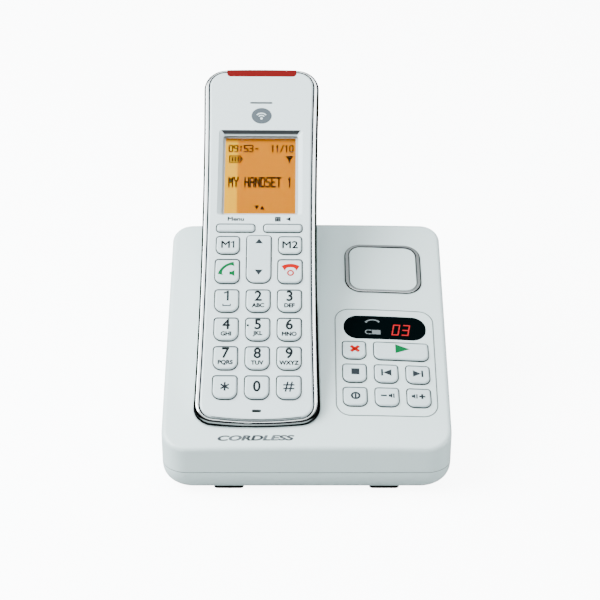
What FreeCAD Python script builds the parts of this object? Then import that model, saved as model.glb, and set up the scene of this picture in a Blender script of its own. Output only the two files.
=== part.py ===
import FreeCAD, Part
import math
import os

V = FreeCAD.Vector
Rot = FreeCAD.Rotation
Place = FreeCAD.Placement

doc = FreeCAD.newDocument("CordlessPhone")

# Sizes in millimetres and degrees. +Z is up, -Y towards the user and +X to the right.
# The parts are laid out from a point under the middle of the base at the height of the
# feet; at the end they all move together so that the origin is under the middle of the row.
SIZES = {
    "baseWidth": 113.0, "baseDepth": 112.0, "creaseHeight": 21.5, "deckSlope": 19.5,
    "frontCorner": 10.0, "backCorner": 8.0, "footHeight": 2.0, "seamHeight": 10.5,
    "crownEdge": 0.6, "crownMiddle": 2.4, "baseWall": 2.4, "rimRound": 2.0,
    "handsetLean": 36.0, "handsetTurn": 0.3, "handsetStart": 0.45, "handsetEnd": 160.1,
    "handsetThick": 22.0, "handsetWall": 1.8, "topHalf": 24.4, "waistHalf": 23.35, "lowHalf": 24.7,
    "topBulge": 0.45, "lowBulge": 1.9, "topCorner": 9.3, "lowCorner": 8.0,
    "rearRound": 6.0, "trimWidth": 2.1, "trimEnds": 1.35, "trimGap": 0.35,
    "cradleGap": 0.4, "cradleWall": 2.2,
    "keyWidth": 9.4, "keyHeight": 9.7, "keyPitchAcross": 12.5, "keyPitchAlong": 12.3,
    "keyProud": 0.65, "keySlope": 5.8, "keyRound": 0.7, "softRound": 0.9, "keyGap": 0.4, "keyFlange": 0.8,
    "flangeDepth": 2.1, "flangeThick": 1.0, "stemLength": 0.2,
    "deckFlangeDepth": 2.9, "deckStem": 0.3, "deckKeyWidth": 9.2, "deckKeyHeight": 8.9,
    "cellRadius": 5.2, "cellLength": 44.5, "cellSpacing": 11.0,
    "speakerRadius": 16.0, "speakerHeight": 7.0, "boardThick": 1.2,
}
sheet = doc.addObject("Spreadsheet::Sheet", "Sizes")
for row, (alias, value) in enumerate(SIZES.items(), 1):
    sheet.set("A%d" % row, alias)
    sheet.set("B%d" % row, str(value))
    sheet.setAlias("B%d" % row, alias)
doc.recompute()


def size(alias):
    return float(sheet.get(alias))


HALF = size("baseWidth") / 2
DEPTH = size("baseDepth")
SLOPE = math.radians(size("deckSlope"))
SLOPE_LENGTH = DEPTH / math.cos(SLOPE)
SEAM = size("seamHeight")
WALL = size("baseWall")
THICK = size("handsetThick")
SKIN = size("handsetWall")
TOP_OF_BLOCK = 75.0

# The deck frame: x across, y up the slope from the front crease, z out of the deck.
DECK = Place(V(0, -DEPTH / 2, size("creaseHeight")), Rot(V(1, 0, 0), size("deckSlope")))
# The handset frame: x across, y along the handset from its lower end, z out of its face.
# It leans back, and sits turned by a fraction of a degree, together with its cradle.
HANDSET = Place(V(-19.514, -48.917, 27.980),
                Rot(V(1, 0, 0), size("handsetLean")).multiply(Rot(V(0, 0, 1), -size("handsetTurn"))))
# Sockets in the back wall look backwards: their z axis is the frame's +Y.
BACKWARDS = Rot(V(0, 0, 1), 180).multiply(Rot(V(1, 0, 0), 90))

pieces = []


# ---------------------------------------------------------------- outlines
def circle(radius, cx=0.0, cy=0.0):
    return [Part.Circle(V(cx, cy, 0), V(0, 0, 1), radius)]


def rounded(width, height, upper, lower=None, cx=0.0, cy=0.0):
    """Rounded rectangle with one radius for its upper and one for its lower corners."""
    lower = upper if lower is None else lower
    left, right = cx - width / 2, cx + width / 2
    low, high = cy - height / 2, cy + height / 2
    centres = [(right - lower, low + lower, lower, 270), (right - upper, high - upper, upper, 0),
               (left + upper, high - upper, upper, 90), (left + lower, low + lower, lower, 180)]
    arcs = [Part.ArcOfCircle(Part.Circle(V(x, y, 0), V(0, 0, 1), r),
                             math.radians(a), math.radians(a + 90)) for x, y, r, a in centres]
    edges = []
    for arc, following in zip(arcs, arcs[1:] + arcs[:1]):
        edges.append(arc)
        if (following.StartPoint - arc.EndPoint).Length > 1e-4:
            edges.append(Part.LineSegment(arc.EndPoint, following.StartPoint))
    return edges


def span(x0, x1, y0, y1, radius=0.5):
    """Rounded rectangle given by its limits."""
    return rounded(x1 - x0, y1 - y0, radius, cx=(x0 + x1) / 2, cy=(y0 + y1) / 2)


def wire_of(edges):
    return Part.Wire([edge.toShape() for edge in edges])


def prism(wire, low, high, place=Place()):
    """Straight solid over a closed wire, between two heights of a local frame."""
    wire = wire if isinstance(wire, Part.Wire) else wire_of(wire)
    solid = Part.Face(wire).extrude(V(0, 0, high - low))
    solid.translate(V(0, 0, low))
    solid.Placement = place.multiply(solid.Placement)
    return solid


def plan(inset):
    """Outline of the base seen from above, moved inwards."""
    return rounded(2 * (HALF - inset), DEPTH - 2 * inset,
                   size("backCorner") - inset * 0.4, size("frontCorner") - inset * 0.4)


def arc_through(a, b, c):
    return Part.Arc(V(*a, 0), V(*b, 0), V(*c, 0)).toShape()


def handset_outline(grow, ends=None):
    """Waisted outline of the handset with rounded corners, grown at its sides and its ends."""
    ends = grow if ends is None else ends
    top, waist, low = [size(alias) + grow for alias in ("topHalf", "waistHalf", "lowHalf")]
    end, start = size("handsetEnd") + ends, size("handsetStart") - ends
    shoulder, foot, waist_at = end - size("topBulge"), start + size("lowBulge"), 78
    sides = [arc_through((low, foot), (waist, waist_at), (top, shoulder)),
             arc_through((top, shoulder), (0, end), (-top, shoulder)),
             arc_through((-top, shoulder), (-waist, waist_at), (-low, foot)),
             arc_through((-low, foot), (0, start), (low, foot))]
    block = Part.Face(Part.Wire(sides)).extrude(V(0, 0, 1))
    for corner, high in (("topCorner", True), ("lowCorner", False)):
        upright = [e for e in block.Edges if abs(e.tangentAt(e.FirstParameter).z) > 0.99
                   and (e.CenterOfMass.y > waist_at) == high]
        block = block.makeFillet(size(corner) + grow, upright)
    floor = min(block.Faces, key=lambda face: face.CenterOfMass.z)
    return floor.OuterWire


# ---------------------------------------------------------------- crowned deck
def crown(x, s):
    """Height of the crowned deck above its flat frame."""
    t = s / SLOPE_LENGTH
    along = size("crownEdge") + 4 * size("crownMiddle") * t * (1 - t)
    return along * (1 - (x / HALF) ** 2)


def above_deck(offset):
    """Everything above the crowned deck surface, which is first lifted by offset."""
    reach, first, last = 1.2, -0.15, 1.15
    edge, rise = size("crownEdge"), 4 * size("crownMiddle")
    across = [1 - reach ** 2, 1 + reach ** 2, 1 - reach ** 2]
    start, stop = [edge + rise * t * (1 - t) for t in (first, last)]
    along = [start, start + (last - first) / 2 * rise * (1 - 2 * first), stop]
    skin = Part.BezierSurface()
    skin.increase(2, 2)
    for i in range(3):
        for j in range(3):
            x = (i - 1) * reach * HALF
            s = (first + (last - first) * j / 2) * SLOPE_LENGTH
            skin.setPole(i + 1, j + 1, V(x, s, across[i] * along[j] + offset))
    solid = skin.toShape().extrude(V(0, 0, 95))
    solid.Placement = DECK.multiply(solid.Placement)
    return solid


def deck_place(x, s):
    """Frame on the crowned deck at (x, s) with its z axis along the surface normal."""
    step = 0.01
    across = (crown(x + step, s) - crown(x - step, s)) / (2 * step)
    along = (crown(x, s + step) - crown(x, s - step)) / (2 * step)
    turn = Rot(V(0, 0, 1), V(-across, -along, 1))
    return DECK.multiply(Place(V(x, s, crown(x, s)), turn))


def deck_layer(wire, low, high):
    """Piece that follows the deck: between two offsets of the crowned surface."""
    column = prism(wire, -12, 12, DECK)
    return column.common(above_deck(low)).cut(above_deck(high))


# ---------------------------------------------------------------- document pieces
def shape_piece(name, shape, place=Place()):
    """Free-form piece; its shape is given in the frame of its placement."""
    feature = doc.addObject("Part::Feature", name)
    feature.Label = name
    shape = shape.copy()
    shape.Placement = place.inverse().multiply(shape.Placement)
    feature.Shape = Part.Shape(shape.removeSplitter())
    feature.Placement = place.multiply(feature.Placement)
    pieces.append(feature)
    return feature


def layered_piece(name, place, layers, round_top=0.0):
    """PartDesign body from sketched layers: (outlines, low, length) pads, or pockets with a fourth
    item, the slope of the pocket's floor. A height may be a number or an expression on the sheet."""
    body = doc.addObject("PartDesign::Body", name)
    body.Label = name
    body.AllowCompound = True
    body.Placement = place
    flat = next(f for f in body.Origin.OriginFeatures if f.Role == "XY_Plane")
    for index, layer in enumerate(layers):
        outlines, low, length = layer[:3]
        cutting = len(layer) > 3
        tilt = Rot(V(1, 0, 0), -layer[3] if cutting else 0)
        sketch = body.newObject("Sketcher::SketchObject", "%s_sketch%d" % (name, index))
        sketch.AttachmentSupport = [(flat, "")]
        sketch.MapMode = "FlatFace"
        for edges in outlines:
            sketch.addGeometry(edges, False)
        if isinstance(low, str):
            sketch.AttachmentOffset = Place(V(), tilt)
            sketch.setExpression("AttachmentOffset.Base.z", low)
        else:
            sketch.AttachmentOffset = Place(V(0, 0, low), tilt)
        kind = "Pocket" if cutting else "Pad"
        feature = body.newObject("PartDesign::" + kind, "%s_%s%d" % (name, kind.lower(), index))
        feature.Profile = sketch
        if isinstance(length, str):
            feature.setExpression("Length", length)
        else:
            feature.Length = length
        feature.Reversed = cutting
        body.Tip = feature
    doc.recompute()
    if round_top:
        faces = feature.Shape.Faces
        top = max(range(len(faces)), key=lambda i: faces[i].CenterOfMass.z)
        fillet = body.newObject("PartDesign::Fillet", name + "_round")
        fillet.Base = (feature, ["Face%d" % (top + 1)])
        fillet.Radius = round_top
        body.Tip = fillet
        doc.recompute()
    pieces.append(body)
    return body


def key_outline(width, height, lower=3.2, cx=0.0, cy=0.0, grow=0.0):
    """Key cap: nearly square upper corners, rounded lower corners."""
    return rounded(width + 2 * grow, height + 2 * grow, 1.2 + grow, lower + grow, cx, cy)


def push_key(name, place, width, height, depth, stem, lower, round_top):
    """Key with its cap through the shell, a retaining flange under it and a short stem.

    The top of the cap slopes: it is nearly flush at its upper edge and stands out at its lower edge."""
    flange = key_outline(width, height, lower, grow=size("keyFlange"))
    cap = key_outline(width, height, lower)
    bottom = "-Sizes.%s - Sizes.flangeThick" % depth
    layered_piece(name, place, [
        ([circle(1.6)], "%s - Sizes.%s" % (bottom, stem), "Sizes.%s" % stem),
        ([flange], bottom, "Sizes.flangeThick"),
        ([cap], "-Sizes.%s" % depth, "Sizes.%s + Sizes.keyProud + 1" % depth),
        ([rounded(width + 4, height + 4, 1)], "Sizes.keyProud", 4.0, size("keySlope")),
    ], round_top)


# ================================================================ base: casings
feet_at = [(x, y) for x in (-30.5, 30.5) for y in (-47.0, 46.0)]
screws_at = [(x, y) for x in (-48.5, 48.5) for y in (-45.5, 45.5)]

outer = prism(plan(0), SEAM + 0.25, TOP_OF_BLOCK).cut(above_deck(0))
rim = [e for e in outer.Edges
       if e.CenterOfMass.z > SEAM + 2 and abs(e.tangentAt(e.FirstParameter).z) < 0.9]
outer = outer.makeFillet(size("rimRound"), rim)
cavity = prism(plan(WALL), 0, TOP_OF_BLOCK).cut(above_deck(-WALL))
upper = outer.cut(cavity)

gap, cradle_wall = size("cradleGap"), size("cradleWall")


def handset_block(grow, top):
    """Full handset block grown on every side, with its rounded back."""
    block = prism(handset_outline(grow), -THICK - grow, top)
    back = [e for e in block.Edges if e.BoundBox.ZMax < -THICK - grow + 0.01]
    return block.makeFillet(size("rearRound") + grow, back)


cradle = handset_block(gap + cradle_wall, 25)
trough = handset_block(gap, 60)
for tool in (cradle, trough):
    tool.Placement = HANDSET.multiply(tool.Placement)
inside = prism(plan(WALL / 2), 0, TOP_OF_BLOCK)
cradle = cradle.common(inside).cut(above_deck(-WALL / 2))
upper = upper.fuse(cradle)
for x, y in screws_at:
    boss = Part.makeCylinder(3.4, 70, V(x, y, 4.7)).cut(above_deck(-WALL / 2))
    upper = upper.fuse(boss)
upper = upper.cut(trough)
for x, y in screws_at:
    upper = upper.cut(Part.makeCylinder(1.25, 10.3, V(x, y, 4.0)))

# Openings of the control panel: (name, x, s, width, height, lower corner radius).
PITCH_X, ROW_LOW = 12.55, {"top": 42.5, "middle": 31.0, "bottom": 19.6}
dw, dh = size("deckKeyWidth"), size("deckKeyHeight")
deck_keys = [("erase_key", 19.1, "top", dw), ("play_key", 19.1 + 1.5 * PITCH_X, "top", dw + PITCH_X)]
deck_keys += [(name, 19.1 + column * PITCH_X, "middle", dw)
              for column, name in enumerate(["stop_key", "skip_back_key", "skip_forward_key"])]
deck_keys += [(name, 19.1 + column * PITCH_X, "bottom", dw)
              for column, name in enumerate(["answer_on_key", "volume_down_key", "volume_up_key"])]
for name, x, row, width in deck_keys:
    place = deck_place(x, ROW_LOW[row] + dh / 2)
    hole = prism(key_outline(width, dh, 2.8, grow=size("keyGap")), -8, 8, place)
    upper = upper.cut(hole)

page_x, page_s = 31.9, 91.35
page_place = deck_place(page_x, page_s)
upper = upper.cut(prism(rounded(28.4, 24.6, 5.2), -8, 8, page_place))
ring_outer = rounded(31.8, 27.3, 6.9, cx=page_x, cy=page_s)
ring_inner = rounded(28.5, 24.7, 5.2, cx=page_x, cy=page_s)
upper = upper.cut(deck_layer(wire_of(ring_outer).makeOffset2D(0.05), -1.25, 6))
window_line = rounded(33.4, 12.1, 5.7, cx=31.75, cy=59.1)
upper = upper.cut(prism(wire_of(window_line).makeOffset2D(0.05), -10, 10, DECK))
panel_line = wire_of(rounded(40.3, 53.7, 6.0, cx=31.55, cy=41.85))
groove = prism(panel_line, -10, 10, DECK).cut(prism(panel_line.makeOffset2D(-0.5), -11, 11, DECK))
upper = upper.cut(groove.common(above_deck(-0.35)))

# Ports in the back wall and slots for the two charge contacts.
line_at, power_at, port_height = -26.0, 12.0, 21.5
contacts_at = [("charge_contact_left", -7.0), ("charge_contact_right", 7.0)]
contact_v = 16.0
back_wall = DEPTH / 2
for x, outline in ((line_at, rounded(14.3, 14.3, 0.6)), (power_at, rounded(9.3, 11.3, 0.6))):
    place = Place(V(x, back_wall, port_height), BACKWARDS)
    upper = upper.cut(prism(outline, -6, 2, place))
for name, u in contacts_at:
    upper = upper.cut(prism(rounded(3.6, 6.6, 0.8, cx=u, cy=contact_v), -THICK - 8, -THICK + 2, HANDSET))
shape_piece("base_upper_casing", upper)

sections = [(3.4, size("footHeight")), (1.3, 4.6), (0.0, SEAM)]
rings = []
for inset, height in sections:
    ring = wire_of(plan(inset))
    ring.translate(V(0, 0, height))
    rings.append(ring)
lower = Part.makeLoft(rings, True, False)
lower = lower.cut(prism(plan(3.9), size("footHeight") + WALL, SEAM + 5))
lip = prism(plan(2.75), SEAM - 3, SEAM + 1.8).cut(prism(plan(3.9), 0, 30))
lower = lower.fuse(lip)
for x, y in screws_at:
    lower = lower.cut(Part.makeCylinder(1.6, 10, V(x, y, 0)))
    lower = lower.cut(Part.makeCylinder(3.1, 1.2, V(x, y, size("footHeight") - 0.2)))
speaker_x, speaker_y = 30.0, 22.0
for k in range(-4, 5):
    reach = 24.0 if abs(k) < 3 else 16.0
    slot = span(speaker_x - reach / 2, speaker_x + reach / 2,
                speaker_y + 2.9 * k - 0.7, speaker_y + 2.9 * k + 0.7, 0.69)
    lower = lower.cut(prism(slot, 0, 6))
shape_piece("base_lower_casing", lower)

shape_piece("rubber_feet", Part.makeCompound(
    [prism(span(x - 5.9, x + 5.9, y - 4.6, y + 4.6, 1.5), 0, size("footHeight")) for x, y in feet_at]))
base_screws = []
for x, y in screws_at:
    head = Part.makeCylinder(2.7, 0.9, V(x, y, 2.1))
    base_screws.append(head.fuse(Part.makeCylinder(1.25, 9.6, V(x, y, 3.0))))
shape_piece("base_screws", Part.makeCompound(base_screws))

# ================================================================ base: fittings
ring = deck_layer(ring_outer, -1.2, 0.55).cut(prism(ring_inner, -20, 20, DECK))
ring_top = max(ring.Faces, key=lambda face: DECK.inverse().multVec(face.CenterOfMass).z)
shape_piece("page_ring", ring.makeFillet(0.6, ring_top.Edges))
shape_piece("base_display_window", deck_layer(window_line, -1.7, -0.1))
layered_piece("locator_button", page_place, [
    ([circle(2.0)], -6.0, 2.2),
    ([rounded(30.6, 26.8, 6.0)], -4.1, "Sizes.flangeThick"),
    ([rounded(27.8, 24.0, 4.9)], -3.2, 3.5),
], round_top=0.3)
for name, x, row, width in deck_keys:
    push_key(name, deck_place(x, ROW_LOW[row] + dh / 2), width, dh,
             "deckFlangeDepth", "deckStem", 2.8, size("keyRound"))
layered_piece("base_key_mat", DECK, [([span(12.5, 51, 17, 53, 2)], -5.5, 0.9)])
layered_piece("base_circuit_board", DECK, [([span(9.8, 52, 15, 100, 1.5)], -7.0, 1.5)])
layered_piece("message_digit_module", DECK, [([span(34, 45, 54.6, 63.6, 0.6)], -5.5, 4.1)])

speaker_disc = doc.addObject("Part::Cylinder", "speaker_basket")
speaker_disc.setExpression("Radius", "Sizes.speakerRadius")
speaker_disc.setExpression("Height", "Sizes.speakerHeight * 0.4")
speaker_magnet = doc.addObject("Part::Cylinder", "speaker_magnet")
speaker_magnet.setExpression("Radius", "Sizes.speakerRadius * 0.55")
speaker_magnet.setExpression("Height", "Sizes.speakerHeight")
loudspeaker = doc.addObject("Part::Fuse", "loudspeaker")
loudspeaker.Base, loudspeaker.Tool = speaker_disc, speaker_magnet
loudspeaker.Label = "loudspeaker"
loudspeaker.Placement = Place(V(speaker_x, speaker_y, size("footHeight") + WALL), Rot())
pieces.append(loudspeaker)

port_face = back_wall - 0.3
layered_piece("line_socket", Place(V(line_at, port_face, port_height), BACKWARDS), [
    ([rounded(14.0, 14.0, 0.5)], -15.0, 15.0),
    ([span(-5.0, 5.0, -3.6, 3.6, 0.3)], -11.0, 11.5, 0),
    ([span(-1.6, 1.6, -5.4, -3.0, 0.3)], -11.0, 11.5, 0),
])
layered_piece("power_inlet", Place(V(power_at, port_face, port_height), BACKWARDS), [
    ([rounded(9.0, 11.0, 0.5)], -13.0, 13.0),
    ([circle(2.9)], -9.5, 9.6, 0),
    ([circle(0.95)], -9.8, 8.8),
])
for name, u in contacts_at:
    layered_piece(name, HANDSET.multiply(Place(V(u, contact_v, -THICK), Rot())), [
        ([rounded(5.6, 8.6, 1.2)], -4.4, 1.2),
        ([rounded(3.0, 6.0, 0.8)], -3.2, 2.95),
    ], round_top=0.3)
layered_piece("contact_holder", HANDSET.multiply(Place(V(0, contact_v, -THICK), Rot())), [
    ([span(-14.5, 14.5, -5.5, 5.5, 1)], -7.4, 1.6),
    ([span(-14.5, -11.7, -5.5, 5.5, 0.8), span(11.7, 14.5, -5.5, 5.5, 0.8)], -5.8, 3.1),
])

# ================================================================ handset: shells
trim, trim_ends, trim_gap = size("trimWidth"), size("trimEnds"), size("trimGap")
SEAM_W, FACE_STEP, FACE_ROUND, BAND_ROUND = -6.0, -0.7, 0.9, 1.3
rear = handset_block(0, SEAM_W - 0.2)
hollow = prism(handset_outline(-SKIN), -THICK + SKIN, 0)
hollow_back = [e for e in hollow.Edges if e.BoundBox.ZMax < -THICK + SKIN + 0.01]
hollow = hollow.makeFillet(size("rearRound") - SKIN, hollow_back)
rear = rear.cut(hollow)
COVER = (-16.6, 16.6, 30.0, 98.0)
cover_travel = 8.0
bay_pad = prism(span(-18.6, 18.6, 20, 100.5, 2), -THICK + 1, -THICK + 3.4)
bay = prism(span(-13.2, 13.2, 32.6, 83.2, 1), -THICK + 1, -7.2)
rear = rear.fuse(bay_pad).fuse(bay)
recess = span(COVER[0] - 0.3, COVER[1] + 0.3, COVER[2] - cover_travel - 0.4, COVER[3] + 0.3, 2.3)
rear = rear.cut(prism(recess, -THICK - 1, -THICK + 1.8))
rear = rear.cut(prism(span(-11.8, 11.8, 34.0, 81.8, 0.8), -THICK - 1, -8.5))
handset_screws_at = [(-14.0, 146.0), (14.0, 146.0)]
for u, v in handset_screws_at:
    rear = rear.fuse(Part.makeCylinder(3.0, 8.2, V(u, v, -THICK + 1)))
    rear = rear.cut(Part.makeCylinder(1.4, 20, V(u, v, -THICK - 1)))
    rear = rear.cut(Part.makeCylinder(2.5, 2.6, V(u, v, -THICK - 1)))
for name, u in contacts_at:
    rear = rear.cut(prism(rounded(4.1, 7.1, 0.8, cx=u, cy=contact_v), -THICK - 1, -THICK + 3.6))
for k in range(-2, 3):
    grille = span(-6, 6, 115 + 2.6 * k - 0.6, 115 + 2.6 * k + 0.6, 0.59)
    rear = rear.cut(prism(grille, -THICK - 1, -THICK + 3))

KEY_LOW = 10.65
pitch_u, pitch_v = size("keyPitchAcross"), size("keyPitchAlong")
kw, kh = size("keyWidth"), size("keyHeight")
digits = ["star", "zero", "hash", "seven", "eight", "nine", "four", "five", "six", "one", "two", "three"]
handset_keys = []
for index, name in enumerate(digits):
    row, column = divmod(index, 3)
    key_u, key_v = (column - 1) * pitch_u, KEY_LOW + row * pitch_v + kh / 2
    handset_keys.append(("key_" + name, key_u, key_v, kw, kh, 3.2))
handset_keys += [
    ("talk_key", -12.6, 65.4, 9.6, 10.5, 2.6), ("end_key", 12.6, 65.4, 9.6, 10.5, 2.6),
    ("memory_one_key", -12.55, 77.0, 9.2, 7.8, 2.4), ("memory_two_key", 12.55, 77.0, 9.2, 7.8, 2.4),
    ("soft_left_key", -9.55, 84.75, 15.4, 3.5, 1.3), ("soft_right_key", 9.55, 84.75, 15.4, 3.5, 1.3),
]
NAV = (9.6, 20.8, 70.8)

front = prism(handset_outline(-trim - trim_gap, -trim_ends - trim_gap), SEAM_W, 0)
face_edges = [e for e in front.Edges if e.BoundBox.ZMin > -0.01]
front = front.makeFillet(FACE_ROUND, face_edges)
lens_line = wire_of(rounded(29.2, 10.0, 0.4, 1.5, cy=161.1))
lens = prism(handset_outline(-0.45), -4.0, -0.1)
lens_edges = [e for e in lens.Edges if e.BoundBox.ZMin > -0.11]
lens = lens.makeFillet(0.5, lens_edges).common(prism(lens_line, -5, 1))
lens_seat = prism(handset_outline(-0.4), -4.05, 2).common(prism(lens_line.makeOffset2D(0.05), -5, 3))
front = front.cut(prism(handset_outline(-trim - SKIN, -trim_ends - SKIN), SEAM_W - 1, -SKIN))
front = front.cut(lens_seat)
for u, v in handset_screws_at:
    post = Part.makeCylinder(2.8, 11.3, V(u, v, -12.5))
    front = front.fuse(post).cut(Part.makeCylinder(1.1, 9.0, V(u, v, -13)))
for name, u, v, width, height, lower_round in handset_keys:
    hole = key_outline(width, height, lower_round, u, v, size("keyGap"))
    front = front.cut(prism(hole, -5, 2))
front = front.cut(prism(key_outline(NAV[0], NAV[1], 3.2, 0, NAV[2], size("keyGap") + 0.05), -5, 2))
bezel = []
for inset, height in ((0.0, 0.01), (1.85, -SKIN - 0.01)):
    ring = wire_of(span(-17.45 + inset, 17.45 - inset, 90.8 + inset * 0.6, 130.3 - inset, 1.2))
    ring.translate(V(0, 0, height))
    bezel.append(ring)
front = front.cut(Part.makeLoft(bezel, True, True))
front = front.cut(prism(rounded(9.4, 0.8, 0.39, cy=143.3), -5, 2))
front = front.cut(prism(rounded(3.7, 1.2, 0.59, cy=5.9), -5, 2))
badge_line, badge_seat = [[Part.Ellipse(V(0.2, 137.1, 0), 4.15 + room, 3.7 + room)]
                          for room in (0.0, 0.05)]
front = front.cut(prism(badge_seat, -0.5, 2))

band = prism(handset_outline(0), SEAM_W, FACE_STEP)
band_edges = [e for e in band.Edges if e.BoundBox.ZMin > FACE_STEP - 0.01]
band = band.makeFillet(BAND_ROUND, band_edges)
band = band.cut(prism(handset_outline(-trim, -trim_ends), SEAM_W - 1, 1))
flat = max(band.Faces, key=lambda face: face.CenterOfMass.z)
inner_lip = [e for wire in flat.Wires if not wire.isSame(flat.OuterWire) for e in wire.Edges]
band = band.makeFillet(0.35, inner_lip).cut(lens_seat)

for name, solid in (("handset_rear_shell", rear), ("handset_front_shell", front),
                    ("handset_trim_band", band), ("ring_indicator_lens", lens)):
    solid.Placement = HANDSET.multiply(solid.Placement)
    shape_piece(name, solid, HANDSET)

# ================================================================ handset: fittings
layered_piece("battery_cover", HANDSET.multiply(Place(V(0, 0, -THICK), Rot())), [
    ([span(*COVER, 2)], 0.0, 1.5),
    ([span(-8, 8, 33.0 + 3 * k, 34.0 + 3 * k, 0.4) for k in range(4)], -0.1, 0.6, 0),
])
for name, u, v, width, height, lower_round in handset_keys:
    push_key(name, HANDSET.multiply(Place(V(u, v, 0), Rot())), width, height,
             "flangeDepth", "stemLength", lower_round,
             size("softRound" if name.startswith("soft") else "keyRound"))
layered_piece("navigation_rocker", HANDSET.multiply(Place(V(0, NAV[2], 0), Rot())), [
    ([span(-6.0, 6.0, -2, 2, 0.6)], "-Sizes.flangeDepth - Sizes.flangeThick", "Sizes.flangeThick"),
    ([key_outline(NAV[0], NAV[1], 3.2)], "-Sizes.flangeDepth - Sizes.flangeThick",
     "Sizes.flangeDepth + Sizes.flangeThick + Sizes.keyProud"),
], round_top=0.5)
axle_depth, axle_length = 2.8, 12.8
rocker = pieces[-1]
side_plane = next(f for f in rocker.Origin.OriginFeatures if f.Role == "YZ_Plane")
axle = rocker.newObject("PartDesign::AdditiveCylinder", "navigation_axle")
axle.AttachmentSupport = [(side_plane, "")]
axle.MapMode = "FlatFace"
axle.AttachmentOffset = Place(V(0, -axle_depth, -axle_length / 2), Rot())
axle.Radius, axle.Height = 0.7, axle_length
rocker.Tip = axle
layered_piece("handset_window", HANDSET, [([span(-17.2, 17.2, 91.0, 130.2, 1.1)], -2.8, 0.95)])
layered_piece("lcd_module", HANDSET, [([span(-17.0, 17.0, 91.2, 130.0, 0.6)], -5.4, 2.3)])
layered_piece("face_badge", HANDSET, [([badge_line], -0.45, 0.6)], round_top=0.12)
layered_piece("handset_key_mat", HANDSET, [([span(-18.2, 18.2, 9.2, 88.5, 3)], -5.4, 0.9)])
layered_piece("handset_circuit_board", HANDSET,
              [([span(-18.4, 18.4, 8.5, 136, 3)], "-5.5 - Sizes.boardThick", "Sizes.boardThick")])
layered_piece("earpiece_capsule", HANDSET, [([circle(6.0, 0, 143.3)], -6.2, 4.2)])
layered_piece("microphone_capsule", HANDSET, [([circle(2.0, 0, 6.4)], -4.6, 2.6)])
layered_piece("ringer_sounder", HANDSET, [
    ([circle(8.5, 0, 115)], -THICK + SKIN, 2.2), ([circle(5.5, 0, 115)], -THICK + SKIN + 2.2, 3.6)])

cells = []
for index, side in enumerate((-1, 1)):
    can = doc.addObject("Part::Cylinder", "battery_can%d" % index)
    can.setExpression("Radius", "Sizes.cellRadius")
    can.setExpression("Height", "Sizes.cellLength")
    can.Placement = Place(V(side * size("cellSpacing") / 2, 80.2, -14.4), Rot(V(1, 0, 0), 90))
    cells.append(can)
battery = doc.addObject("Part::Compound", "battery_cells")
battery.Links = cells
battery.Label = "battery_cells"
battery.Placement = HANDSET
pieces.append(battery)
layered_piece("battery_contacts", HANDSET, [
    ([span(side * 5.5 - 4.2, side * 5.5 + 4.2, v, v + 0.8, 0.2)
      for side in (-1, 1) for v in (34.3, 80.6)], -18.5, 8.2)])
layered_piece("charge_pads", HANDSET, [
    ([rounded(4.0, 7.0, 0.7, cx=u, cy=contact_v) for name, u in contacts_at], -THICK, 3.4)])
screws = []
for u, v in handset_screws_at:
    head = Part.makeCylinder(2.3, 1.2, V(u, v, -THICK + 0.4))
    screws.append(head.fuse(Part.makeCylinder(1.1, 15.6, V(u, v, -THICK + 1.6))))
screw_set = Part.makeCompound(screws)
screw_set.Placement = HANDSET
shape_piece("handset_screws", screw_set, HANDSET)

# ================================================================ row origin, checks and files
ROW_SHIFT = Place(V(0, -17.57, 0), Rot())
for piece in pieces:
    piece.Placement = ROW_SHIFT.multiply(piece.Placement)
doc.recompute()
for item in doc.Objects:
    if {"Invalid", "Error"} & set(item.State):
        raise RuntimeError("%s: %s" % (item.Label, item.State))
os.makedirs("parts", exist_ok=True)
for piece in pieces:
    if piece.Shape.isNull() or not piece.Shape.isValid() or piece.Shape.Volume <= 0:
        raise RuntimeError("bad shape: " + piece.Label)
    piece.Shape.exportStep(os.path.join("parts", piece.Label + ".step"))
print("pieces written:", len(pieces))
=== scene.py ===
import math

import bpy
from mathutils import Matrix, Vector


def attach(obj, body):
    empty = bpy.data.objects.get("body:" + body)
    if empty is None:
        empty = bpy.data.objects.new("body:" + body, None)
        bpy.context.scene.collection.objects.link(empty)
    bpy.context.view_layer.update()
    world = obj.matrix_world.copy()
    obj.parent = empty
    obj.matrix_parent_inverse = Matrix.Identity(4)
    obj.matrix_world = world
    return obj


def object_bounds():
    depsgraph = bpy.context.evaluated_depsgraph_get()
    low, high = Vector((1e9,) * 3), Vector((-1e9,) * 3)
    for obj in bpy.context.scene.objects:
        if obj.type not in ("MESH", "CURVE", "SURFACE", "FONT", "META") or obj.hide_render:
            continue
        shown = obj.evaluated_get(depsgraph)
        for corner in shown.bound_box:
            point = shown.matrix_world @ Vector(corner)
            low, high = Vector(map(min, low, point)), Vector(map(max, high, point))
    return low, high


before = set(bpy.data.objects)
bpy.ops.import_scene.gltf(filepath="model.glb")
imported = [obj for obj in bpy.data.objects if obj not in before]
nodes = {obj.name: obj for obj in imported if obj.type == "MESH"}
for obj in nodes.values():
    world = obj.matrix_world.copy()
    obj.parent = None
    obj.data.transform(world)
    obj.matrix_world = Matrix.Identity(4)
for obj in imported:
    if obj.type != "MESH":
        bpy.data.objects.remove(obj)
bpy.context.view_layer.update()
MM = 0.001

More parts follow.
